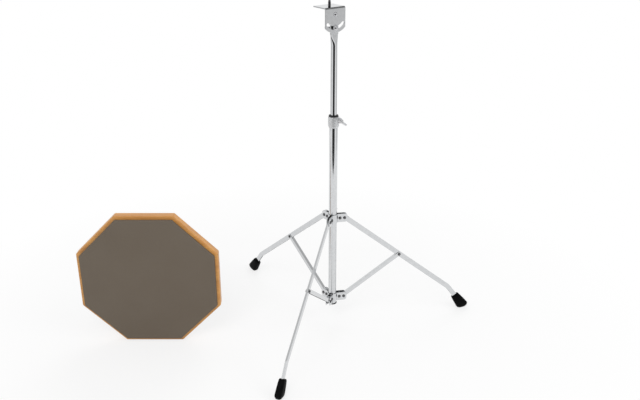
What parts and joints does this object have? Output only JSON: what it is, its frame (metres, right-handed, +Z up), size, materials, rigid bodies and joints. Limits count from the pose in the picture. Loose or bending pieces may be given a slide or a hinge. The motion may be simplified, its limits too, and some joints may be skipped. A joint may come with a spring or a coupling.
{
  "type": "practice pad",
  "caption": "Octagonal drum practice pad with a rubber face on a wooden board, and its folding tripod stand with a sliding mast and a tilting bracket whose stud takes the pad.",
  "frame": {"origin": "on the floor, in the middle of the set's footprint", "axes": "+Z up; +X from the pad to the stand; the pad's playing face looks along -Y"},
  "size_m": [0.8796, 0.5695, 0.7344],
  "materials": {
    "chrome": "bright chrome plating",
    "zinc_plated_steel": "bright zinc plating",
    "black_nylon": "moulded, matt",
    "black_rubber": "moulded, matt",
    "gum_rubber": "matt taupe gum rubber",
    "grip_rubber": "fine-textured dark sheet",
    "sealed_wood": "sealed orange-tan wood with a satin varnish"
  },
  "bodies": {
    "stand": {"lower_tube": "chrome", "tube_end_plug": "black_nylon", "clutch_collar": "chrome", "lower_hub_plate_1": "chrome", "lower_hub_plate_2": "chrome", "lower_hub_plate_3": "chrome", "lower_hub_rivet_1": "zinc_plated_steel", "lower_hub_rivet_2": "zinc_plated_steel", "lower_hub_rivet_3": "zinc_plated_steel", "strut_rivet_1": "zinc_plated_steel", "strut_rivet_2": "zinc_plated_steel", "strut_rivet_3": "zinc_plated_steel"},
    "upper_hub": {"upper_hub_plate_1": "chrome", "upper_hub_plate_2": "chrome", "upper_hub_plate_3": "chrome", "upper_hub_rivet_1": "zinc_plated_steel", "upper_hub_rivet_2": "zinc_plated_steel", "upper_hub_rivet_3": "zinc_plated_steel", "leg_rivet_1_left": "zinc_plated_steel", "leg_rivet_1_right": "zinc_plated_steel", "leg_rivet_2_left": "zinc_plated_steel", "leg_rivet_2_right": "zinc_plated_steel", "leg_rivet_3_left": "zinc_plated_steel", "leg_rivet_3_right": "zinc_plated_steel"},
    "hub_wing_bolt": {"hub_wing_bolt": "zinc_plated_steel"},
    "clutch_wing_bolt": {"clutch_wing_bolt": "zinc_plated_steel"},
    "mast_bush": {"clutch_bush": "black_nylon"},
    "mast": {"upper_tube": "chrome", "tilt_pivot_bolt": "zinc_plated_steel", "tilt_pivot_nut": "zinc_plated_steel", "tilt_clamp_bolt": "zinc_plated_steel", "tilt_washer": "zinc_plated_steel"},
    "tilt_wing_nut": {"tilt_wing_nut": "zinc_plated_steel"},
    "tilt_head": {"tilt_bracket": "chrome", "pad_stud": "zinc_plated_steel", "stud_nut": "zinc_plated_steel"},
    "pad": {"pad_core": "sealed_wood", "pad_face": "gum_rubber", "pad_base": "grip_rubber", "pad_insert": "zinc_plated_steel"},
    "strut_1": {"strut_1": "chrome"},
    "leg_1": {"leg_1": "chrome", "foot_1": "black_rubber", "elbow_rivet_1": "zinc_plated_steel"},
    "strut_2": {"strut_2": "chrome"},
    "leg_2": {"leg_2": "chrome", "foot_2": "black_rubber", "elbow_rivet_2": "zinc_plated_steel"},
    "strut_3": {"strut_3": "chrome"},
    "leg_3": {"leg_3": "chrome", "foot_3": "black_rubber", "elbow_rivet_3": "zinc_plated_steel"}
  },
  "joints": [
    {"name": "tripod_fold", "type": "hinge", "parent": "stand", "child": "strut_1", "pos_m": [0.13882, 0.03293, 0.0615], "axis": [0.1719, -0.9851, 0], "range_deg": [0, 45]},
    {"name": "leg_1_fold", "type": "hinge", "parent": "strut_1", "child": "leg_1", "pos_m": [0.2668, 0.05526, 0.15761], "axis": [-0.1719, 0.9851, 0], "range_deg": [0, 88.22]},
    {"name": "strut_2_fold", "type": "hinge", "parent": "stand", "child": "strut_2", "pos_m": [0.09653, 0.0484, 0.0615], "axis": [0.7672, 0.6414, 0], "range_deg": [0, 45]},
    {"name": "leg_2_fold", "type": "hinge", "parent": "strut_2", "child": "leg_2", "pos_m": [0.0132, 0.14807, 0.15761], "axis": [-0.7672, -0.6414, 0], "range_deg": [0, 88.22]},
    {"name": "strut_3_fold", "type": "hinge", "parent": "stand", "child": "strut_3", "pos_m": [0.10427, 0.00404, 0.0615], "axis": [-0.9391, 0.3437, 0], "range_deg": [0, 45]},
    {"name": "leg_3_fold", "type": "hinge", "parent": "strut_3", "child": "leg_3", "pos_m": [0.05963, -0.11796, 0.15761], "axis": [0.9391, -0.3437, 0], "range_deg": [0, 88.22]},
    {"name": "hub_slide", "type": "slide", "parent": "stand", "child": "upper_hub", "axis": [0, 0, 1], "range_m": [0, 0.12465]},
    {"name": "hub_wing_bolt_turn", "type": "hinge", "parent": "upper_hub", "child": "hub_wing_bolt", "pos_m": [0.11829, 0.04235, 0.26095], "axis": [0.3437, 0.9391, 0], "continuous": true},
    {"name": "clutch_wing_bolt_turn", "type": "hinge", "parent": "stand", "child": "clutch_wing_bolt", "pos_m": [0.12531, 0.0183, 0.489], "axis": [0.766, -0.6428, 0], "continuous": true},
    {"name": "mast_swivel", "type": "hinge", "parent": "stand", "child": "mast_bush", "pos_m": [0.11321, 0.02846, 0.496], "axis": [0, 0, 1], "continuous": true},
    {"name": "height_slide", "type": "slide", "parent": "mast_bush", "child": "mast", "axis": [0, 0, 1], "range_m": [-0.14, 0.125]},
    {"name": "bracket_tilt", "type": "hinge", "parent": "mast", "child": "tilt_head", "pos_m": [0.11321, 0.02846, 0.708], "axis": [0.6004, -0.7997, 0], "range_deg": [-45, 45]},
    {"name": "tilt_wing_nut_turn", "type": "hinge", "parent": "mast", "child": "tilt_wing_nut", "pos_m": [0.11213, 0.0299, 0.6815], "axis": [-0.6004, 0.7997, 0], "continuous": true},
    {"name": "pad_lift", "type": "slide", "parent": "stand", "child": "pad", "axis": [0, 0, 1], "range_m": [0, 0.4]}
  ],
  "couplings": [
    {"joint": "leg_1_fold", "follows": "tripod_fold", "ratio": 1.9605},
    {"joint": "strut_2_fold", "follows": "tripod_fold", "ratio": 1},
    {"joint": "leg_2_fold", "follows": "tripod_fold", "ratio": 1.9605},
    {"joint": "strut_3_fold", "follows": "tripod_fold", "ratio": 1},
    {"joint": "leg_3_fold", "follows": "tripod_fold", "ratio": 1.9605},
    {"joint": "hub_slide", "follows": "tripod_fold", "m_per_rad": 0.1587}
  ]
}
